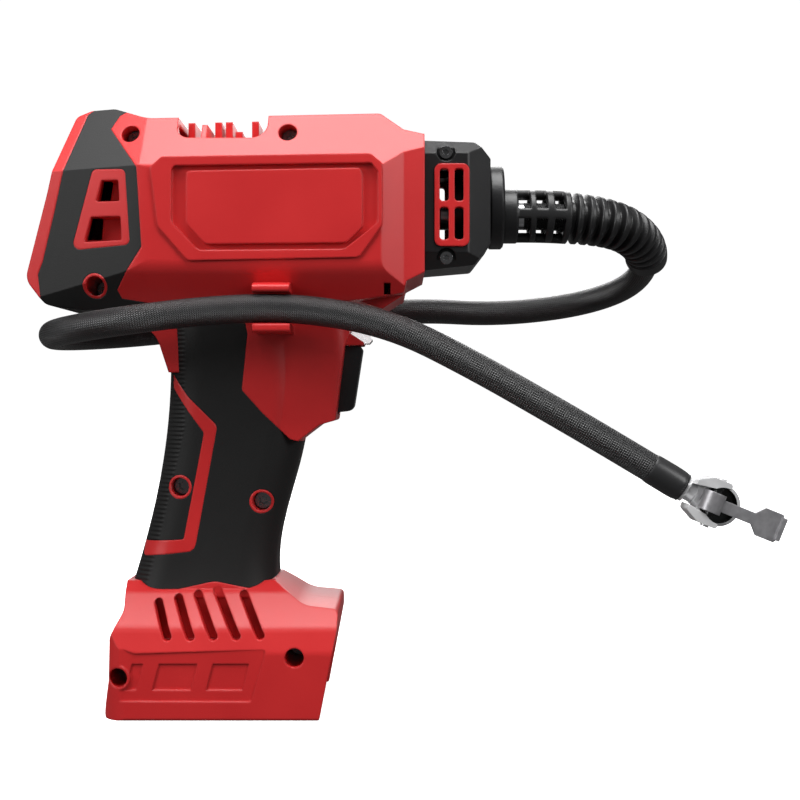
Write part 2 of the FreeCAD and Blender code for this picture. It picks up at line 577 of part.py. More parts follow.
keep("head_screws", Part.makeCompound([
    Part.makeCylinder(2.4, 2, V(a, b, 211)).fuse(Part.makeCylinder(1.5, 5.6, V(a, b, 205.4)))
    for a, b in HEAD_BOLTS]), 4)
keep("outlet_valve", ring(on_pump(205), Z, 1.0, 3.0, 1.0))
wrist_z = CRANK_Z - CRANK_THROW + ROD_LENGTH
pin_z = CRANK_Z - CRANK_THROW
piston = turned([(-3.5, 9.92), (1.2, 9.92), (1.2, 8.6), (3.2, 8.6), (3.2, 9.92), (5.0, 9.92)], on_pump(wrist_z), Z)
piston = piston.cut(box((PUMP_X - 3.4, -5, 170), (PUMP_X + 3.4, 5, wrist_z + 3.4)))
wrist = Part.makeCylinder(WRIST_R, 15, V(PUMP_X - 7.5, 0, wrist_z), X)
keep("piston", piston.cut(wrist))
keep("piston_seal", ring(on_pump(wrist_z + 1.2), Z, 2.0, 9.95, 8.6))
keep("wrist_pin", wrist)
link = join([
    Part.makeCylinder(3.0, 5, V(PUMP_X - 2.5, 0, wrist_z), X),
    box((PUMP_X - 2.0, -1.9, pin_z + 3), (PUMP_X + 2.0, 1.9, wrist_z - 2)),
    Part.makeCylinder(BIG_END_R, 5, V(PUMP_X - 2.5, 0, pin_z), X),
])
link = link.cut(Part.makeCylinder(WRIST_R + RUNNING, 20, V(PUMP_X - 10, 0, wrist_z), X))
keep("connecting_rod", link.cut(Part.makeCylinder(CRANK_PIN_R, 20, V(PUMP_X - 10, 0, pin_z), X)))
keep("crank_pin", Part.makeCylinder(CRANK_PIN_R, 8, V(22.4, 0, pin_z), X))


# ---- routed tubes ----
def routed_edges(points):
    """Straight runs and tangent arcs; each arc's radius is 0.45 of its shorter run over tan(turn / 2)."""
    points = [V(*p) for p in points]
    edges, here, radii = [], points[0], []
    for before, corner, after in zip(points, points[1:], points[2:]):
        back, on = before - corner, after - corner
        reach = 0.45 * min(back.Length, on.Length)
        back.normalize()
        on.normalize()
        half = back.getAngle(on) / 2
        radius = reach * math.tan(half)
        middle = (back + on).normalize()
        start, end = corner + back * reach, corner + on * reach
        edges.append(Part.LineSegment(here, start).toShape())
        edges.append(Part.Arc(start, corner + middle * (radius / math.sin(half) - radius), end).toShape())
        radii.append(round(radius, 1))
        here = end
    edges.append(Part.LineSegment(here, points[-1]).toShape())
    return edges, radii


def swept(edges, radius):
    """Round bar along a chain of tangent edges, tested against section times length."""
    path = Part.Wire(edges)
    start = edges[0].valueAt(edges[0].FirstParameter)
    direction = edges[0].tangentAt(edges[0].FirstParameter)
    section = Part.Wire(Part.Circle(start, direction, radius).toShape())
    tube = path.makePipeShell([section], True, True)
    ideal = math.pi * radius ** 2 * path.Length
    assert abs(tube.Volume / ideal - 1) < 0.01, f"tube volume {tube.Volume} against {ideal}"
    return tube


def routed(points, radius):
    return swept(routed_edges(points)[0], radius)


keep("outlet_pipe", routed([(PUMP_X + 12.6, 0, 208), (52, 0, 208), (56.5, 0, AIR_Z), (67, 0, AIR_Z)], 1.9))

# ---- trigger, switch and light ----
TRIGGER_FACE = [(20, 109.2, 0), (25.8, 109.2, 1), (31.2, 109.8, 3), (34.9, 134, 1.5), (20, 134, 0)]
trigger = prism(TRIGGER_FACE, "XZ", -8, 8)
trigger_room = box((19, -6, 112), (23.5, 6, 131.5)).cut(Part.makeCylinder(3.6, 20, V(15, 0, 121.5), X))
trigger = trigger.cut(trigger_room)
keep("trigger", trigger)
switch = join([box((-7, -8, 112), (9, 8, 131)), Part.makeCylinder(2.0, 4.2, V(9, 0, 121.5), X)])
keep("trigger_switch", switch)
coil = Part.makeHelix(2.6, 10.0, 3.1)
coil.Placement = FreeCAD.Placement(V(9.5, 0, 121.5), FreeCAD.Rotation(Z, X))
keep("trigger_spring", swept(coil.Edges, 0.35))
lens = prism([(29.6, 135, 0), (37.2, 135, 1), (38.4, 136.4, 0.6), (36.6, 139.8, 1), (29.6, 139.8, 0)],
             "XZ", -6.8, 6.8)
keep("led_lens", lens)
keep("led_board", box((27.4, -5.5, 135.2), (29.0, 5.5, 139.6)).fuse(box((28.9, -2, 136), (29.6, 2, 139))))

# ---- battery foot ----
BLADES_Y = (-12, -8, 8, 12)
blades = [box((-30, y - 0.4, 6.5), (0, y + 0.4, 20)) for y in BLADES_Y]
block = box((-34, -15, 12.5), (4, 15, 24)).cut(Part.makeCompound(blades))
keep("terminal_block", block.cut(box((-26, -6, 20), (-14, 6, 25))))
keep("terminal_blades", Part.makeCompound(blades), len(blades))
control = join([box((-44, -14, 30), (-28, 14, 31.6)), Part.makeCylinder(3.5, 8, V(-38, -8, 31.5)),
                Part.makeCylinder(3.5, 8, V(-38, 8, 31.5)), box((-34, -4, 31.5), (-30, 4, 34))])
keep("control_board", control)
lead_sides = (-3, 3)
battery_leads = [routed([(-20, y, 20.4), (-20.6, y, 34), (-22, y, 62), (-18, y, 90), (-3, y, 112)], 1.1)
                 for y in lead_sides]
motor_leads = [routed([(-4, y, 131), (-6, y, 144), (-24, y, 157), (-48, y, 157), (-55.5, y, 168)], 1.1)
               for y in lead_sides]
motor_zone = rod(on_shaft(-57), X, 43, MOTOR_R)
keep("battery_leads", Part.makeCompound([lead.cut(switch) for lead in battery_leads]), 2)
keep("motor_leads", Part.makeCompound([lead.cut(motor_zone).cut(switch) for lead in motor_leads]), 2)

# ---- nose ----
COLLAR_SIDE = [(HOUSING_FRONT, 161.6, 0), (HOUSING_FRONT, 209.6, 0), (76.3, 208.7, 2), (82, 202.4, 1),
               (82, 171.2, 1), (76, 163.4, 2)]
COLLAR_END = [(-24.6, 203.4, 1), (-13, 211, 1), (13, 211, 1), (24.6, 203.4, 1),
              (24.6, 167.6, 1), (13, 160.2, 1), (-13, 160.2, 1), (-24.6, 167.6, 1)]
COLLAR_PLAN = [(40, -24.6, 0), (73.5, -24.3, 2), (82.5, -17.5, 0), (82.5, 17.5, 0), (73.5, 24.3, 2), (40, 24.6, 0)]
COLLAR_WALL = 2.2
VENT_SLOTS = [(63.1, 172.0), (68.5, 172.0), (63.1, 186.0), (68.5, 186.0)]
VENT_SLOT_SIZE = (3.3, 11.8)
COLLAR_SCREWS = [(65.4, 204.0), (65.6, 165.6)]
COLLAR_SEAT = 20.4           # where the screw heads bear, from the middle plane


def collar(inset):
    side = prism(COLLAR_SIDE, "XZ", -40, 40, inset)
    return side.common(prism(COLLAR_END, "YZ", 40, 90, inset)).common(prism(COLLAR_PLAN, "XY", 150, 220, inset))


vent_outline = [(61.2, 169.6, 2.6), (73.9, 169.6, 2.6), (73.9, 199.6, 2.6), (61.2, 199.6, 2.6)]
vent_plate = prism(vent_outline, "XZ", 21.6, 25.1)
collar_shell = collar(0).cut(collar(COLLAR_WALL)).cut(rod((50, 0, NOSE_Z), X, 12, 17))
posts = [rod((x, -30, z), Y, 60, 4.6) for x, z in COLLAR_SCREWS]
post_solids = Part.makeCompound(posts).common(collar(0)).cut(box((50, -9, 150), (90, 9, 220)))
collar_shell = join([collar_shell, post_solids])
sinks = [rod((x, side * COLLAR_SEAT, z), Y * side, 10, 3.45) for x, z in COLLAR_SCREWS for side in (-1, 1)]
pilots = [rod((x, -30, z), Y, 60, SCREW_R) for x, z in COLLAR_SCREWS]
for cutter in (rod((78, 0, NOSE_Z), X, 10, 12), Part.makeCompound(sinks), Part.makeCompound(pilots),
               Part.makeCompound([vent_plate, mirrored(vent_plate)])):
    collar_shell = collar_shell.cut(cutter)
keep("nose_collar", collar_shell)
slot_w, slot_h = VENT_SLOT_SIZE
slots = [prism([(x, z, 1.2), (x + slot_w, z, 1.2), (x + slot_w, z + slot_h, 1.2), (x, z + slot_h, 1.2)],
               "XZ", 15, 30) for x, z in VENT_SLOTS]
vent_frame = vent_plate.cut(Part.makeCompound(slots))
keep("collar_vents", Part.makeCompound([vent_frame, mirrored(vent_frame)]), 2)
keep("collar_screws", Part.makeCompound(
    [screw(x, z, side, COLLAR_SEAT, 2.3, 8) for x, z in COLLAR_SCREWS for side in (-1, 1)]), 4)
nose = turned([(-14.6, 13.4), (-2.4, 13.4), (-2.4, 12), (0, 12), (0, 15), (0.7, 15.75), (4.8, 15.75), (5.6, 15)],
              (82, 0, NOSE_Z), X)
keep("nose_gland", nose.cut(rod((60, 0, AIR_Z), X, 40, HOSE_R)).cut(rod((60, 0, NOSE_Z), X, 18, 11.4)))
ferrule = turned([(62, 4.2), (64, 5.1), (70, 5.1), (70, 4.6), (72, 4.6), (72, 5.1), (95.5, 5.1)], (0, 0, AIR_Z), X)
keep("hose_ferrule", ferrule.cut(rod((60, 0, AIR_Z), X, 7, 1.9)))

# ---- hose ----
hose_edges, hose_radii = routed_edges(HOSE_ROUTE)
hose = swept(hose_edges, HOSE_R)
print("hose arc radii", hose_radii, "length", round(Part.Wire(hose_edges).Length, 1))
keep("hose_tube", hose)
boot_start = V(87.6, 0, AIR_Z)
lead_in = Part.LineSegment(boot_start, hose_edges[0].valueAt(hose_edges[0].LastParameter)).toShape()
boot_path = [lead_in] + hose_edges[1:BOOT_EDGES]
boot = swept(boot_path, BOOT_R).fuse(rod(tuple(boot_start), X, 5.3, 10.2))
boot_bore = swept(boot_path, HOSE_R)
keep("strain_relief_boot", boot.cut(boot_bore))
hose_end = V(*HOSE_ROUTE[-1])
hose_way = (hose_end - V(*HOSE_ROUTE[-2])).normalize()
SLEEVE = 13.0
sleeve_start = hose_end - hose_way * SLEEVE
keep("hose_sleeve", ring(tuple(sleeve_start), hose_way, SLEEVE, HOSE_R + 0.35, HOSE_R))

# ---- lever chuck, made with its mouth along +Y and its lever along +X ----
chuck_place = FreeCAD.Placement(CHUCK_AT, FreeCAD.Rotation(Y, CHUCK_TILT))
CHUCK_R, MOUTH_R = 7.4, 4.0
SEAL_FROM, SEAL_LENGTH, SEAL_R = 1.8, 4.8, 5.4
PIN_AT = (-2.8, -7.5)        # X and Y of the lever's pin
EAR_IN, EAR_OUT = 5.6, 8.2


def on_chuck(shape):
    moved = shape.copy()
    moved.Placement = chuck_place.multiply(moved.Placement)
    return moved


def into_chuck(point):
    """A point of the tool's frame, in the chuck's own frame."""
    return chuck_place.inverse().multVec(point)


inlet = into_chuck(hose_end)
inlet_way = (V(0, 0, 0) - V(inlet.x, 0, inlet.z)).normalize()
body = rod((0, -4.6, 0), Y, 13.8, CHUCK_R)
body = body.makeFillet(0.8, [e for e in body.Edges if abs(e.BoundBox.YMax - 9.2) < 1e-3])
cheek = [(-11, 3.6, 0), (0.8, EAR_IN, 0), (0.8, EAR_OUT, 1), (-6, EAR_OUT, 2), (-11, 5.6, 1)]
cheeks = []
for side in (-1, 1):
    outline = [(a, side * b, r) for a, b, r in cheek]
    plate = prism(outline if side > 0 else outline[::-1], "XZ", -10.4, 2)
    cheeks.append(plate)
neck = Part.makeCylinder(4.0, 8, inlet + inlet_way * 4.2, inlet_way)
neck.translate(V(0, 0.6, 0))
body = join([body, neck] + cheeks)
cuts = [rod((0, -12, 0), Y, 10.8, 6.2), rod((0, 9.3, 0), Y * -1, 8.6, MOUTH_R), rod((0, -3, 0), Y, 8, 2.6),
        box((-8, -12, -4.2), (0, -2.4, 4.2)), rod((PIN_AT[0], PIN_AT[1], -12), Z, 24, WRIST_R),
        rod((0, SEAL_FROM, 0), Y, SEAL_LENGTH, SEAL_R)]
for cut in cuts:
    body = body.cut(cut)
fitting = turned([(0, 4.6), (1.2, 4.6), (1.2, 3.4), (4.2, 3.4)], tuple(hose_end), hose_way)
keep("chuck_fitting", fitting)
keep("chuck_body", on_chuck(body).cut(fitting))
keep("chuck_seal", on_chuck(ring((0, SEAL_FROM, 0), Y, SEAL_LENGTH, SEAL_R, MOUTH_R)))
keep("chuck_plunger", on_chuck(rod((0, -3.8, 0), Y, 3.6, 2.3)))
keep("chuck_pin", on_chuck(rod((PIN_AT[0], PIN_AT[1], -8.8), Z, 17.6, WRIST_R)))
cam = rod((PIN_AT[0] - 0.6, PIN_AT[1] - 0.6, -3.5), Z, 7.0, 4.0)
stem = box((PIN_AT[0] + 1, PIN_AT[1] - 2.4, -2.1), (13.5, PIN_AT[1] - 0.8, 2.1))
paddle = prism([(11.5, -2.1, 0), (14.2, -5.1, 1), (21.2, -5.1, 1), (21.2, 5.1, 1), (14.2, 5.1, 1), (11.5, 2.1, 0)],
               "XZ", PIN_AT[1] - 2.4, PIN_AT[1] - 0.8)
curl = box((20.4, PIN_AT[1] - 4.4, -4.1), (22.0, PIN_AT[1] - 0.8, 4.1))
lever = join([cam, stem, paddle, curl]).cut(rod((PIN_AT[0], PIN_AT[1], -12), Z, 24, WRIST_R + RUNNING))
keep("chuck_lever", on_chuck(lever))
print("lever pin at", on_chuck(Part.Vertex(PIN_AT[0], PIN_AT[1], 0)).Point)

os.makedirs("parts", exist_ok=True)
for name, shape in nodes.items():
    shape.exportStep(f"parts/{name}.step")
print(len(nodes), "nodes")
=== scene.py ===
import math

import bpy
import numpy as np
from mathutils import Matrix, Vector


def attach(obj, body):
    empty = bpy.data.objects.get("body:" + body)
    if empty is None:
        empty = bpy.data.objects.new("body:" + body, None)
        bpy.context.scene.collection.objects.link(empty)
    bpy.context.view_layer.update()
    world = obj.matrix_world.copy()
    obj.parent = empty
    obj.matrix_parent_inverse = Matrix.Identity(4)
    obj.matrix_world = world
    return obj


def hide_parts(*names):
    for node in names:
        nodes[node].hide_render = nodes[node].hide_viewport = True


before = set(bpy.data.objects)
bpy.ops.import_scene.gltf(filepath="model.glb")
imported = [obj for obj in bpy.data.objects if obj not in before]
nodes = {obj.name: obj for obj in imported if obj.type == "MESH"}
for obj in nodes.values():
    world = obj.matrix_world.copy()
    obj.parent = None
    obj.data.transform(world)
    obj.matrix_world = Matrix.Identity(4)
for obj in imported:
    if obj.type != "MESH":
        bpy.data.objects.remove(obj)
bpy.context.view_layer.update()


# ---- Studio ----
# A seamless pale floor that runs up into a wall all round the tool, a large soft lamp overhead,
# a lamp on each side and one behind.  The camera looks square on to the tool's right side.
FLOOR_R, WALL_TOP, WALL_BEND, WALL_COLUMNS = 4.5, 4.0, 1.0, 64
FLOOR_MIDDLE_R, CEILING_HOLE_R = 0.05, 0.4


def round_sweep(radius, height, bend, columns):
    """Rings of a round floor, a quarter circle of radius bend at its edge, and a wall up to height."""
    turn = np.linspace(0, np.pi / 2, 13)
    out = np.concatenate([[FLOOR_MIDDLE_R], radius - bend + bend * np.sin(turn), [radius, CEILING_HOLE_R]])
    z = np.concatenate([[0.0], bend - bend * np.cos(turn), [height, height]])
    angle = np.arange(columns) * 2 * np.pi / columns
    x, y = out[:, None] * np.cos(angle), out[:, None] * np.sin(angle)
    return np.stack(np.broadcast_arrays(x, y, z[:, None]), -1)


def grid_faces(rows, columns, close_rows=False, close_columns=False):
    """Quads of a rows by columns grid of points, numbered row by row; a closed way joins its ends."""
    r = np.arange(rows if close_rows else rows - 1)[:, None]
    c = np.arange(columns if close_columns else columns - 1)[None, :]
    up, across = (r + 1) % rows, (c + 1) % columns
    quads = [r * columns + c, r * columns + across, up * columns + across, up * columns + c]
    return np.stack(np.broadcast_arrays(*quads), -1).reshape(-1, 4)


def new_piece(name, points, faces):
    """A mesh object at the origin from an array of points and a list of faces."""
    mesh = bpy.data.meshes.new(name)
    corners = np.asarray(points, float).reshape(-1, 3).tolist()
    mesh.from_pydata(corners, [], [list(map(int, face)) for face in faces])
    mesh.polygons.foreach_set("use_smooth", np.full(len(mesh.polygons), True))
    mesh.update()
    piece = bpy.data.objects.new(name, mesh)
    bpy.context.scene.collection.objects.link(piece)
    return piece


sheet = round_sweep(FLOOR_R, WALL_TOP, WALL_BEND, WALL_COLUMNS)
floor_middle = [list(range(WALL_COLUMNS))]
walls = grid_faces(*sheet.shape[:2], close_columns=True)[:, ::-1]
backdrop = new_piece("studio_sweep", sheet, walls.tolist() + floor_middle)
backdrop.visible_diffuse = backdrop.visible_glossy = backdrop.visible_shadow = False
paper = bpy.data.materials.new("white_paper")
paper.use_nodes = True
paper_sockets = paper.node_tree.nodes["Principled BSDF"].inputs
paper_sockets["Base Color"].default_value = (0.95, 0.95, 0.95, 1)
paper_sockets["Roughness"].default_value = 0.9
paper_sockets["Emission Color"].default_value = (1, 1, 1, 1)
paper_sockets["Emission Strength"].default_value = 0.88
backdrop.data.materials.append(paper)


def lamp(name, place, target, size, power):
    """A square soft lamp at a place, turned to face its target."""
    light = bpy.data.lights.new(name, "AREA")
    light.shape, light.size, light.energy = "SQUARE", size, power
    holder = bpy.data.objects.new(name, light)
    bpy.context.scene.collection.objects.link(holder)
    holder.location = place
    holder.rotation_euler = (Vector(target) - Vector(place)).to_track_quat("-Z", "Y").to_euler()


lamp("overhead", (0.03, -0.22, 1.15), (0.03, 0, 0.12), 0.8, 16)
lamp("left_key", (-1.0, -0.75, 0.7), (0.0, 0, 0.12), 0.6, 8)
lamp("right_key", (1.05, -0.75, 0.7), (0.05, 0, 0.12), 0.6, 7)
lamp("rear_fill", (0.1, 1.3, 0.9), (0.03, 0, 0.12), 0.9, 12)
sky = bpy.data.worlds.new("studio_sky")
sky.use_nodes = True
sky.node_tree.nodes["Background"].inputs["Color"].default_value = (1, 1, 1, 1)
sky.node_tree.nodes["Background"].inputs["Strength"].default_value = 0.12
bpy.context.scene.world = sky
bpy.context.scene.view_settings.view_transform = "Standard"

camera = bpy.data.objects.new("camera", bpy.data.cameras.new("camera"))
bpy.context.scene.collection.objects.link(camera)
camera.data.sensor_width = 36.0
camera.data.lens = 63.95
camera.location = (0.0487, -0.540, 0.1138)
camera.rotation_euler = (math.pi / 2, 0, 0)
camera.data.clip_start = 0.01
bpy.context.scene.camera = camera


# ---- Housing halves ----
# Two mirrored shells moulded in satin red ABS, screwed together along the middle plane.
# The mould's spark finish leaves a fine grain; the edges are rounded a little.
class Value:
    """A socket in a material's nodes, with the operators that Python has for numbers."""

    def __init__(self, look, socket):
        self.look, self.socket = look, socket

    def maths(self, operation, *others):
        node = self.look.node("ShaderNodeMath", {"operation": operation})
        for place, value in enumerate((self, *others)):
            self.look.feed(node.inputs[place], value)
        return Value(self.look, node.outputs[0])

    def __add__(self, other): return self.maths("ADD", other)
    def __sub__(self, other): return self.maths("SUBTRACT", other)
    def __mul__(self, other): return self.maths("MULTIPLY", other)
    def __rsub__(self, other): return (self * -1) + other
    def __gt__(self, other): return self.maths("GREATER_THAN", other)
    def __lt__(self, other): return self.maths("LESS_THAN", other)
    __radd__, __rmul__ = __add__, __mul__

    def clamped(self):
        return (self.maths("MINIMUM", 1.0)).maths("MAXIMUM", 0.0)


class Look:
    """A node material: its shader, its coordinates and one method that makes any other node."""

    def __init__(self, name, **constants):
        self.material = bpy.data.materials.new(name)
        self.material.use_nodes = True
        self.tree = self.material.node_tree
        self.shader = self.tree.nodes["Principled BSDF"]
        self.coordinates = self.tree.nodes.new("ShaderNodeTexCoord")
        for socket, value in constants.items():
            self.shader.inputs[socket.replace("_", " ")].default_value = value

    def feed(self, socket, value):
        if isinstance(value, Value):
            self.tree.links.new(value.socket, socket)
        elif isinstance(value, bpy.types.NodeSocket):
            self.tree.links.new(value, socket)
        elif hasattr(socket.default_value, "__len__") and len(socket.default_value) == 4:
            socket.default_value = (*value[:3], 1)
        else:
            socket.default_value = value

    def node(self, kind, settings=(), **sockets):
        """A node of this type with its settings made first; a ramp's stops are (place, colour) pairs."""
        node = self.tree.nodes.new(kind)
        for setting, value in dict(settings).items():
            if setting == "stops":
                ramp = node.color_ramp
                while len(ramp.elements) < len(value):
                    ramp.elements.new(0.5)
                for stop, (place, colour) in zip(ramp.elements, value):
                    stop.position, stop.color = place, (*colour, 1)
            else:
                setattr(node, setting, value)
        for socket, value in sockets.items():
            self.feed(node.inputs[socket.replace("_", " ")], value)
        return node

    @property
    def place(self):
        return self.coordinates.outputs["Object"]

    def axes(self, vector=None):
        """The three parts of a vector, as values."""
        split = self.node("ShaderNodeSeparateXYZ", Vector=vector or self.place)
        return [Value(self, split.outputs[i]) for i in range(3)]

    def noise(self, scale, detail=2.0, vector=None):
        node = self.node("ShaderNodeTexNoise", Vector=vector or self.place, Scale=scale, Detail=detail)
        return Value(self, node.outputs[0])

    def ramp(self, value, stops):
        return self.node("ShaderNodeValToRGB", {"stops": stops}, Fac=value).outputs[0]

    def mix(self, share, first, second):
        node = self.node("ShaderNodeMix", {"data_type": "RGBA"})
        self.feed(node.inputs[0], share)
        self.feed(node.inputs[6], first)
        self.feed(node.inputs[7], second)
        return node.outputs[2]

    def rounded(self, radius):
        """The normal with every edge rounded to this radius."""
        return self.node("ShaderNodeBevel", {"samples": 4}, Radius=radius).outputs[0]

    def bump(self, height, depth, normal=None):
        node = self.node("ShaderNodeBump", Height=height, Distance=depth, Strength=1.0)
        if normal is not None:
            self.feed(node.inputs["Normal"], normal)
        return node.outputs[0]

    def shade(self, **inputs):
        for socket, value in inputs.items():
            self.feed(self.shader.inputs[socket.replace("_", " ")], value)
        return self.material


def paint(material, *names):
    """Give CAD nodes, by name, this material."""
    for name in names:
        mesh = nodes[name].data
        mesh.materials.clear()
        mesh.materials.append(material)


def moulded(name, dark, light, gloss, grain, edge):
    """Moulded plastic: a cloudy colour, a fine grain and slightly worn, rounded edges."""
    look = Look(name)
    cloud = look.noise(28, 3)
    fine = look.noise(grain, 2)
    colour = look.ramp(cloud, [(0.3, dark), (0.7, light)])
    rough = cloud * 0.10 + fine * 0.08 + (gloss - 0.09)
    normal = look.bump(fine, 0.00004, look.rounded(edge))
    return look.shade(Base_Color=colour, Roughness=rough, Normal=normal)


red_abs = moulded("red_abs", (0.62, 0.020, 0.022), (0.70, 0.026, 0.027), 0.36, 2600, 0.0009)
paint(red_abs, "housing_right", "housing_left", "rear_bezel", "collar_vents")

# ---- Rubber overmould ----
# Black thermoplastic rubber, moulded over the grip and round the barrel's rear end.  It has a
# dull, finely grained skin, and it lies in shallow steps in the red halves.
rubber = moulded("black_overmould", (0.008, 0.008, 0.008), (0.012, 0.012, 0.012), 0.60, 1900, 0.0006)
paint(rubber, "rear_bumper_right", "rear_bumper_left")

# Behind the stripe the grip has fine level ribs, which fade out 8 mm from its back edge.
look = Look("grip_rubber", Specular_IOR_Level=0.35)
x, y, z = look.axes()
KNEE_HEIGHT, KNEE_BACK, GRIP_SLOPE = 0.104, 0.0383, 0.235
RIBS_WIDTH, RIB_PITCH = 0.0085, 0.0016
back_edge = (z - KNEE_HEIGHT).maths("MINIMUM", 0.0) * GRIP_SLOPE - KNEE_BACK
ribbed = ((back_edge + RIBS_WIDTH - x) * 700).clamped()
ribs = (z * (2 * math.pi / RIB_PITCH)).maths("SINE") * 0.5 + 0.5
fine = look.noise(1900)
skin = look.ramp(look.noise(30, 3), [(0.3, (0.008, 0.008, 0.008)), (0.7, (0.012, 0.012, 0.012))])
look.shade(Base_Color=skin, Roughness=fine * 0.1 + 0.56,
           Normal=look.bump(fine * 0.15 + ribbed * ribs, 0.00028, look.rounded(0.0006)))
paint(look.material, "grip_overmould_right", "grip_overmould_left")

# ---- Black plastic parts ----
# Glass-filled nylon, injection moulded in black: the nose collar and its gland, the trigger and
# the display panel, and inside the tool the switch, terminal block, end cap and fan.
black = moulded("black_plastic", (0.009, 0.009, 0.010), (0.014, 0.014, 0.015), 0.36, 2400, 0.0007)
paint(black, "nose_collar", "nose_gland", "trigger", "display_panel", "trigger_switch", "terminal_block",
      "motor_endcap", "motor_fan")

# ---- Clear lamp lens on the beak ----
# Injection moulded clear polycarbonate, slightly frosted inside, over one white lamp.  It is
# trapped between the two housing halves, above the trigger.
look = Look("clear_lens", IOR=1.5, Transmission_Weight=0.85)
look.shade(Base_Color=look.ramp(look.noise(300), [(0.3, (0.93, 0.90, 0.91)), (0.7, (0.98, 0.96, 0.97))]),
           Roughness=look.noise(900) * 0.2 + 0.05)
paint(look.material, "led_lens")

# ---- Display window ----
# A smoked acrylic window over a lit screen, glued into the panel on the slanted back face.  The
# screen shows three figures of seven strokes each, with a pressure's decimal point.
PANEL_MIDDLE, PANEL_LEAN = (-0.07775, 0.18655), math.atan2(18.1, 60.7)
SCREEN_RISE, FIGURE_HALF = 10.5, (2.1, 4.0)
STROKES = {
    "top": (0, 1, 1, 0), "middle": (0, 0, 1, 0), "bottom": (0, -1, 1, 0),
    "upper_left": (-1, 0.5, 0, 1), "upper_right": (1, 0.5, 0, 1),
    "lower_left": (-1, -0.5, 0, 1), "lower_right": (1, -0.5, 0, 1),
}
FIGURES = {
    -7.4: ("top", "upper_right", "middle", "lower_right", "bottom"),
    -0.4: ("top", "upper_left", "middle", "lower_right", "bottom"),
    7.4: ("top", "upper_left", "upper_right", "lower_left", "lower_right", "bottom"),
}


def on_panel(look):
    """Millimetres to the right of and above the panel's middle, as seen from behind the tool."""
    x, y, z = look.axes()
    above = (x - PANEL_MIDDLE[0]) * math.sin(PANEL_LEAN) + (z - PANEL_MIDDLE[1]) * math.cos(PANEL_LEAN)
    return y * -1000, above * 1000


def bar(right, above, middle, half):
    """1 inside a level rectangle: both distances from its middle are below its half sizes."""
    across = (right - middle[0]).maths("ABSOLUTE") < half[0]
    return across * ((above - middle[1]).maths("ABSOLUTE") < half[1])


look = Look("display_window", IOR=1.49, Coat_Weight=0.6, Emission_Strength=1.6)
right, above = on_panel(look)
lit = bar(right, above, (3.9, SCREEN_RISE - 4.0), (0.5, 0.5))
for middle, strokes in FIGURES.items():
    for stroke in strokes:
        to_right, up, level, upright = STROKES[stroke]
        centre = (middle + to_right * FIGURE_HALF[0], SCREEN_RISE + up * FIGURE_HALF[1])
        lit = lit + bar(right, above, centre, (0.4 + level * 1.3, 0.4 + upright * 1.2))
smoke = look.ramp(look.noise(60), [(0.3, (0.012, 0.015, 0.016)), (0.7, (0.018, 0.022, 0.023))])
look.shade(Base_Color=smoke,
           Emission_Color=look.mix(lit.clamped(), (0.0, 0.0, 0.0), (0.75, 0.9, 1.0)),
           Roughness=look.noise(1200) * 0.05 + 0.06)
paint(look.material, "display_lens")

# ---- Buttons ----
# Moulded silicone caps that stand in holes in the panel, with pale marks printed on them: minus,
# plus, three bars for the mode, and a ring with a stroke on the red power button.
BUTTON_ACROSS, UPPER_ROW, LOWER_ROW = 9.5, -5.5, -16.5
look = Look("button_rubber")
right, above = on_panel(look)
printed = bar(right, above, (BUTTON_ACROSS, UPPER_ROW), (1.7, 0.32))
printed = printed + bar(right, above, (-BUTTON_ACROSS, UPPER_ROW), (1.7, 0.32))
printed = printed + bar(right, above, (-BUTTON_ACROSS, UPPER_ROW), (0.32, 1.7))
for step in (-1.2, 0, 1.2):
    printed = printed + bar(right, above, (BUTTON_ACROSS, LOWER_ROW + step), (1.5, 0.25))
grain = look.noise(1500)
rubber_tone = look.ramp(look.noise(45), [(0.3, (0.018, 0.018, 0.018)), (0.7, (0.026, 0.026, 0.026))])
look.shade(Base_Color=look.mix(printed.clamped(), rubber_tone, (0.62, 0.62, 0.62)),
           Roughness=grain * 0.1 + 0.55,
           Normal=look.bump(grain, 0.00002, look.rounded(0.0004)))
paint(look.material, "button_minus", "button_plus", "button_mode")

look = Look("button_red")
right, above = on_panel(look)
aside, over = right + BUTTON_ACROSS, above - LOWER_ROW
from_middle = (aside * aside + over * over).maths("SQRT")
gap = bar(right, over, (-BUTTON_ACROSS, 1.5), (0.6, 0.6))
circle = ((from_middle - 1.45).maths("ABSOLUTE") < 0.24) * (1 - gap)
printed = circle + bar(right, over, (-BUTTON_ACROSS, 1.1), (0.24, 0.8))
grain = look.noise(1500)
red_tone = look.ramp(look.noise(45), [(0.3, (0.48, 0.016, 0.016)), (0.7, (0.56, 0.024, 0.024))])
look.shade(Base_Color=look.mix(printed.clamped(), red_tone, (0.75, 0.75, 0.75)),
           Roughness=grain * 0.1 + 0.5,
           Normal=look.bump(grain, 0.00002, look.rounded(0.0004)))
paint(look.material, "button_power")

# ---- Circuit boards and wires ----
# Boards of glass cloth under a green solder mask, which sit in slots in the housing, and stranded
# wires in red vinyl that run from the foot to the switch and on to the motor.
look = Look("circuit_board", Coat_Weight=0.3)
cloth = (look.noise(1500) + look.noise(300)) * 0.5
look.shade(Base_Color=look.ramp(cloth, [(0.35, (0.006, 0.07, 0.022)), (0.65, (0.012, 0.11, 0.036))]),
           Roughness=cloth * 0.2 + 0.3)
paint(look.material, "display_board", "led_board", "control_board")
paint(moulded("wire_cover", (0.33, 0.012, 0.012), (0.42, 0.02, 0.02), 0.4, 900, 0.0002),
      "battery_leads", "motor_leads")


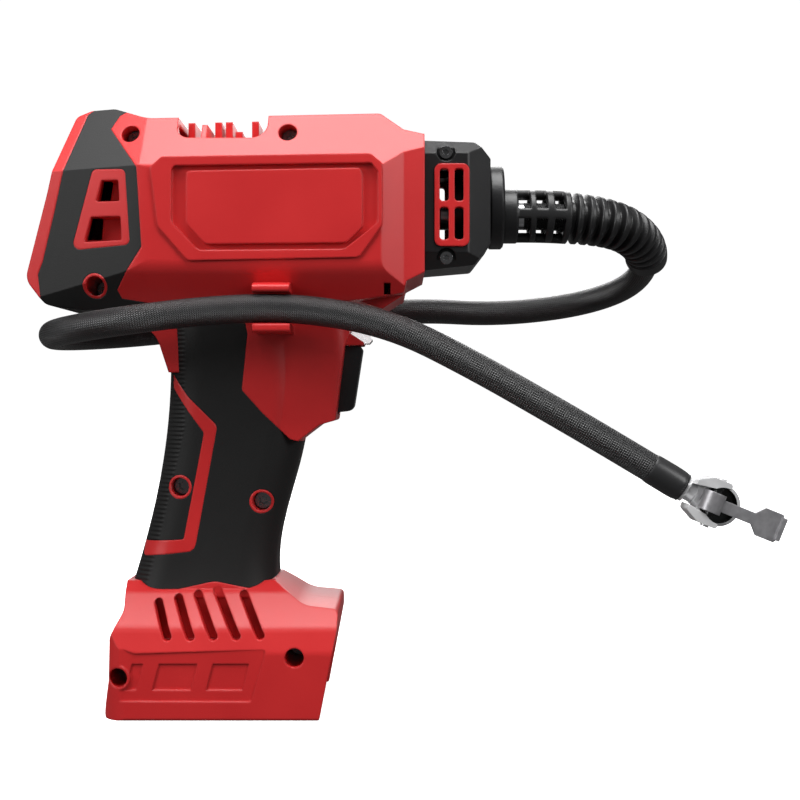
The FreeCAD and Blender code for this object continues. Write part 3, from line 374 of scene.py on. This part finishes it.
# ---- Metal parts ----
# Turned and ground steel, zinc plated sheet, die-cast alloy and brass: each has fine marks
# from its making and clouded roughness.
def metal(name, dark, light, rough, marks, depth, turned_about=None, edge=0.0002):
    """Bare metal: cloudy tint, and marks that run round an axis or lie as a cast grain."""
    look = Look(name, Metallic=1.0)
    cloud = look.noise(90, 4)
    place = look.place
    if turned_about is not None:
        stretch = [220, 220, 220]
        stretch[turned_about] = 5200
        node = look.node("ShaderNodeMapping", Scale=stretch)
        look.feed(node.inputs["Vector"], place)
        place = node.outputs[0]
    fine = look.noise(marks, 2, vector=place)
    colour = look.ramp(cloud, [(0.3, dark), (0.7, light)])
    return look.shade(Base_Color=colour, Roughness=cloud * 0.12 + fine * 0.14 + (rough - 0.13),
                      Normal=look.bump(fine, depth, look.rounded(edge)))


steel = metal("spring_steel", (0.50, 0.50, 0.51), (0.62, 0.62, 0.64), 0.3, 1.0, 0.00001, 0)
paint(steel, "motor_shaft", "pinion", "crankshaft", "shaft_bearings", "crank_pin", "wrist_pin",
      "trigger_spring", "hose_ferrule")
paint(metal("dark_steel", (0.20, 0.20, 0.205), (0.32, 0.32, 0.33), 0.26, 900, 0.00002),
      "housing_screws", "collar_screws", "head_screws")
paint(metal("zinc_steel", (0.52, 0.53, 0.55), (0.66, 0.66, 0.66), 0.32, 700, 0.00001), "motor_can")
paint(metal("magnet", (0.05, 0.05, 0.055), (0.08, 0.08, 0.08), 0.6, 1200, 0.00003), "motor_magnets")
paint(metal("armature", (0.30, 0.12, 0.05), (0.46, 0.20, 0.08), 0.35, 1.0, 0.0002, 0), "motor_armature")
paint(metal("cast_alloy", (0.42, 0.43, 0.44), (0.56, 0.56, 0.57), 0.45, 1100, 0.00008),
      "gearbox_frame", "cylinder", "cylinder_head", "piston", "connecting_rod")
paint(metal("brass", (0.52, 0.35, 0.11), (0.68, 0.47, 0.17), 0.28, 800, 0.00001),
      "outlet_pipe", "outlet_valve", "terminal_blades", "chuck_plunger")
paint(moulded("gear_plastic", (0.62, 0.60, 0.54), (0.70, 0.68, 0.62), 0.4, 900, 0.0002), "crank_gear")
paint(moulded("seal_rubber", (0.012, 0.012, 0.012), (0.02, 0.02, 0.02), 0.5, 1200, 0.0002),
      "piston_seal", "chuck_seal")

# ---- Hose ----
# A rubber hose under a braid of black polyester.  It leaves the nose, turns round behind the
# tool through the clips under the barrel, and comes forward again to the valve chuck.
HOSE_ROUTE = [
    (0.0955, 0, 0.1835), (0.1258, 0, 0.1835), (0.1475, 0.0196, 0.1745), (0.1475, 0.047, 0.1622),
    (0.127, 0.066, 0.1544), (0.090, 0.064, 0.150), (0.056, 0.0505, 0.1512), (0.016, 0.035, 0.1471),
    (-0.0167, 0.0362, 0.1454), (-0.0534, 0.0427, 0.141), (-0.082, 0.0187, 0.138),
    (-0.082, -0.0187, 0.1378),
    (-0.0534, -0.0427, 0.141), (-0.0167, -0.0362, 0.146), (0.014, -0.0346, 0.1467), (0.046, -0.037, 0.1406),
    (0.074, -0.041, 0.1264), (0.105, -0.0434, 0.1086), (0.127, -0.044, 0.0956), (0.1475, -0.044, 0.0832),
]
HOSE_R = 0.0051
line = bpy.data.curves.new("hose_line", "CURVE")
line.dimensions = "3D"
line.resolution_u = 24
spline = line.splines.new("NURBS")
spline.points.add(len(HOSE_ROUTE) - 1)
spline.points.foreach_set("co", np.c_[np.array(HOSE_ROUTE, float), np.ones(len(HOSE_ROUTE))].ravel())
spline.order_u = 3
spline.use_endpoint_u = True
holder = bpy.data.objects.new("hose_line", line)
bpy.context.scene.collection.objects.link(holder)
bpy.context.view_layer.update()
flat = bpy.data.meshes.new_from_object(holder)
path = np.zeros(len(flat.vertices) * 3)
flat.vertices.foreach_get("co", path)
path = path.reshape(-1, 3)
bpy.data.objects.remove(holder)


def along(path, step):
    """The path at even steps of its length, with its tangent and a normal that turns least."""
    lengths = np.r_[0, np.cumsum(np.linalg.norm(np.diff(path, axis=0), axis=1))]
    count = int(round(lengths[-1] / step)) + 1
    at = np.linspace(0, lengths[-1], count)
    points = np.stack([np.interp(at, lengths, path[:, i]) for i in range(3)], 1)
    for _ in range(3):
        points[1:-1] = (points[:-2] + points[1:-1] * 2 + points[2:]) / 4
    tangent = np.gradient(points, axis=0)
    tangent /= np.linalg.norm(tangent, axis=1, keepdims=True)
    normal = np.zeros_like(points)
    last = np.array([0.0, 0.0, 1.0])
    for i, way in enumerate(tangent):
        last = last - way * (last @ way)
        last /= np.linalg.norm(last)
        normal[i] = last
    return at, points, tangent, normal


def tube(points, tangent, normal, radius, sides):
    """Rings of points round a line; radius is a number or one number to a ring."""
    angle = np.arange(sides) * 2 * np.pi / sides
    side = np.cross(tangent, normal)
    radius = np.broadcast_to(radius, len(points))
    ring = normal[:, None] * np.cos(angle)[None, :, None] + side[:, None] * np.sin(angle)[None, :, None]
    return points[:, None] + ring * radius[:, None, None]


def lay_map(piece, rows, columns, lengths):
    """UV for a tube's side faces: u is metres along the line and v runs from 0 to 1 round it."""
    r, c = np.meshgrid(np.arange(rows - 1), np.arange(columns), indexing="ij")
    corners = [(r, c), (r, c + 1), (r + 1, c + 1), (r + 1, c)]
    uv = np.stack([np.stack([lengths[a], b / columns], -1) for a, b in corners], 2).reshape(-1, 2)
    layer = piece.data.uv_layers.new(name="UVMap")
    whole = np.zeros((len(piece.data.loops), 2), np.float32)
    whole[:len(uv)] = uv
    layer.data.foreach_set("uv", whole.ravel())


def closed_tube(name, rings, lengths):
    """A tube's mesh from its rings, with flat ends, and its map."""
    rows, columns = rings.shape[:2]
    sides = grid_faces(rows, columns, close_columns=True)
    ends = [list(range(columns))[::-1], list(range((rows - 1) * columns, rows * columns))]
    piece = new_piece(name, rings, sides.tolist() + ends)
    lay_map(piece, rows, columns, lengths)
    return piece


at, line_points, line_way, line_up = along(path, 0.0012)
hose = closed_tube("hose", tube(line_points, line_way, line_up, HOSE_R, 48), at)
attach(hose, "tool")
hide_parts("hose_tube")

# Braid of 40 by 40 flat yarns laid at about 45 degrees, each over one and under one.  The colour is painted
# darker at each yarn's edges and in the gaps between yarns: painted shade.
YARNS, YARN_WIDTH = 40, 2 * math.pi * HOSE_R / 40
look = Look("braid", Specular_IOR_Level=0.9)
u, v, _ = look.axes(look.coordinates.outputs["UV"])
one_way = v * YARNS + u * (1 / YARN_WIDTH)
other_way = v * YARNS - u * (1 / YARN_WIDTH)
over = (one_way.maths("FLOOR") + other_way.maths("FLOOR")).maths("PINGPONG", 1.0)
rise_one = (one_way.maths("FRACT") * math.pi).maths("SINE")
rise_other = (other_way.maths("FRACT") * math.pi).maths("SINE")
rise = over * rise_one + (1 - over) * rise_other
wander = look.noise(260, 3)
yarn = look.ramp(wander, [(0.3, (0.007, 0.007, 0.008)), (0.7, (0.016, 0.016, 0.018))])
# Painted shade: the base colour goes darker where the yarns dip, following their height.
look.shade(Base_Color=look.mix(rise, (0.004, 0.004, 0.004), yarn),
           Roughness=0.46 - rise * 0.16 + wander * 0.1, Normal=look.bump(rise, 0.00030))
hose.data.materials.append(look.material)

# ---- Strain relief boot ----
# One moulding in black nylon rubber: a plain sleeve, three rings held by four bars with windows
# between them, and then a bellows whose rings follow the hose down and back.
BOOT_FROM, BOOT_LENGTH, CAGE_LENGTH, COLLAR_LENGTH = 0.0876, 0.0745, 0.0246, 0.0042
BOOT_R, BASE_R, GROOVE_R, RING_COUNT = 0.0099, 0.01025, 0.0062, 11
BASE_LENGTH, WINDOWS = 0.0050, [(0.0053, 0.0098), (0.0118, 0.0159), (0.0180, 0.0222)]
straight = np.linspace([BOOT_FROM, 0, HOSE_ROUTE[0][2]], HOSE_ROUTE[0], 8)[:-1]
boot_at, boot_points, boot_way, boot_up = along(np.r_[straight, path], 0.00025)
boot_rubber = moulded("boot_rubber", (0.010, 0.010, 0.0105), (0.016, 0.016, 0.017), 0.38, 1500, 0.0003)


def boot_piece(name, faces, points):
    """A part of the boot, made from its grid of points and its faces, in the boot's rubber."""
    piece = new_piece(name, points, faces)
    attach(piece, "tool")
    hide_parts("strain_relief_boot")
    piece.data.materials.append(boot_rubber)
    return piece


# The cage is a tube with the windows left out of its grid, thickened inwards.
COLUMNS = 64
part = slice(0, int(np.searchsorted(boot_at, CAGE_LENGTH)), 2)
cage_at = boot_at[part]
cage_rings = tube(boot_points[part], boot_way[part], boot_up[part],
                  np.where(cage_at < BASE_LENGTH, BASE_R, BOOT_R), COLUMNS)
cage_faces = grid_faces(len(cage_rings), COLUMNS, close_columns=True)
row, column = np.divmod(np.arange(len(cage_faces)), COLUMNS)
in_window = np.zeros(len(cage_faces), bool)
for low, high in WINDOWS:
    in_window |= (cage_at[row] >= low) & (cage_at[row] < high)
in_window &= np.abs((column + 0.5) % (COLUMNS / 4) - COLUMNS / 8) < COLUMNS / 8 - 2
cage = boot_piece("boot_cage", cage_faces[~in_window].tolist(), cage_rings)
wall = cage.modifiers.new("wall", "SOLIDIFY")
wall.thickness, wall.offset, wall.use_even_offset = 0.0034, -1, False


def smooth_step(low, high, value):
    """0 below low, 1 above high, and the cubic 3t^2 - 2t^3 between."""
    t = np.clip((value - low) / (high - low), 0, 1)
    return t * t * (3 - 2 * t)


# The bellows is a closed ring of profile: out along the rings and grooves, back along the bore.
first, last = np.searchsorted(boot_at, [CAGE_LENGTH - 0.0004, BOOT_LENGTH])
run = np.arange(first, last)
share = (boot_at[run] - boot_at[first]) / (boot_at[last] - boot_at[first])
ring_end = 1 - COLLAR_LENGTH / (BOOT_LENGTH - CAGE_LENGTH)
turn = (share / ring_end * RING_COUNT + 0.45) % 1
crest = smooth_step(0, 0.13, turn) * (1 - smooth_step(0.5, 0.63, turn))
crest = np.where(share > ring_end, 1, crest) * smooth_step(0, 0.004, 1.002 - share)
outside = GROOVE_R + (BOOT_R - 0.0016 * share - GROOVE_R) * crest
there_and_back = np.r_[run, run[::-1]]
bellows_rings = tube(boot_points[there_and_back], boot_way[there_and_back], boot_up[there_and_back],
                     np.r_[outside, np.full(len(run), HOSE_R + 0.0001)], COLUMNS)
bellows_faces = grid_faces(len(bellows_rings), COLUMNS, close_rows=True, close_columns=True)
bellows = boot_piece("boot_bellows", bellows_faces.tolist(), bellows_rings)

# ---- Crimp sleeve ----
# A satin black sleeve with rounded ends, shrunk over the hose's last 13 mm to cover the crimp
# that holds the chuck's fitting.
SLEEVE_LENGTH, SLEEVE_R = 0.0135, 0.00540
end_point, end_way = line_points[-1], line_way[-1]
PROFILE = np.array([(-SLEEVE_LENGTH, HOSE_R - 0.0003), (-SLEEVE_LENGTH, SLEEVE_R - 0.0002),
                    (-SLEEVE_LENGTH + 0.0002, SLEEVE_R), (-0.006, SLEEVE_R + 0.0001), (-0.0016, SLEEVE_R),
                    (-0.0006, SLEEVE_R - 0.0003), (0.0001, SLEEVE_R - 0.0011), (0.0004, 0.0040),
                    (0.0004, 0.0034)])


def turned_piece(name, profile, origin, way, columns=64):
    """A profile of (distance, radius) points turned about a line, closed along its inside."""
    way = np.asarray(way, float) / np.linalg.norm(way)
    up = np.cross(way, [0.3, 0.9, 0.2])
    up /= np.linalg.norm(up)
    points = np.asarray(origin, float) + way * profile[:, :1]
    ways, ups = np.broadcast_to(way, points.shape), np.broadcast_to(up, points.shape)
    rings = tube(points, ways, ups, profile[:, 1], columns)
    faces = grid_faces(len(rings), columns, close_rows=True, close_columns=True)
    return new_piece(name, rings, faces.tolist())


sleeve = turned_piece("sleeve", PROFILE, end_point, end_way)
smooth = sleeve.modifiers.new("smooth", "SUBSURF")
smooth.levels = smooth.render_levels = 1
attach(sleeve, "tool")
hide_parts("hose_sleeve")
satin = moulded("sleeve", (0.022, 0.022, 0.023), (0.034, 0.034, 0.035), 0.36, 700, 0.0003)
sleeve.data.materials.append(satin)

# ---- Valve chuck ----
# A nickel plated die-cast body with two cheeks and a mouth, and a pressed steel lever that turns
# on a pin between the cheeks.  Inside the cup under the lever the colour is painted near black: painted
# shade.
CUP_MIDDLE, CUP_R, CUP_FROM, CUP_TO = (0.159, 0.0775), 0.00635, -0.0559, -0.045
look = Look("chrome")
x, y, z = look.axes()
cloud = look.noise(160, 3)
aside, over = x - CUP_MIDDLE[0], z - CUP_MIDDLE[1]
# Painted shade: within the cup's radius and depth the chrome's colour is made near black.
painted_shade_in_cup = (aside * aside + over * over).maths("SQRT") < CUP_R
painted_shade_in_cup = painted_shade_in_cup * (y > CUP_FROM) * (y < CUP_TO)
nickel = look.ramp(cloud, [(0.3, (0.82, 0.82, 0.83)), (0.7, (0.93, 0.93, 0.94))])
look.shade(Base_Color=look.mix(painted_shade_in_cup, nickel, (0.02, 0.022, 0.022)),
           Metallic=0.36 - cloud * 0.1, Roughness=cloud * 0.14 + 0.14,
           Normal=look.bump(look.noise(500), 0.00001, look.rounded(0.0004)))
paint(look.material, "chuck_body", "chuck_fitting", "chuck_pin")
look = Look("lever_steel")
cloud = look.noise(420, 3)
look.shade(Base_Color=look.ramp(cloud, [(0.3, (0.33, 0.325, 0.34)), (0.7, (0.44, 0.435, 0.45))]),
           Metallic=0.55 + cloud * 0.1, Roughness=cloud * 0.2 + 0.3,
           Normal=look.bump(cloud, 0.00003, look.rounded(0.0004)))
paint(look.material, "chuck_lever")
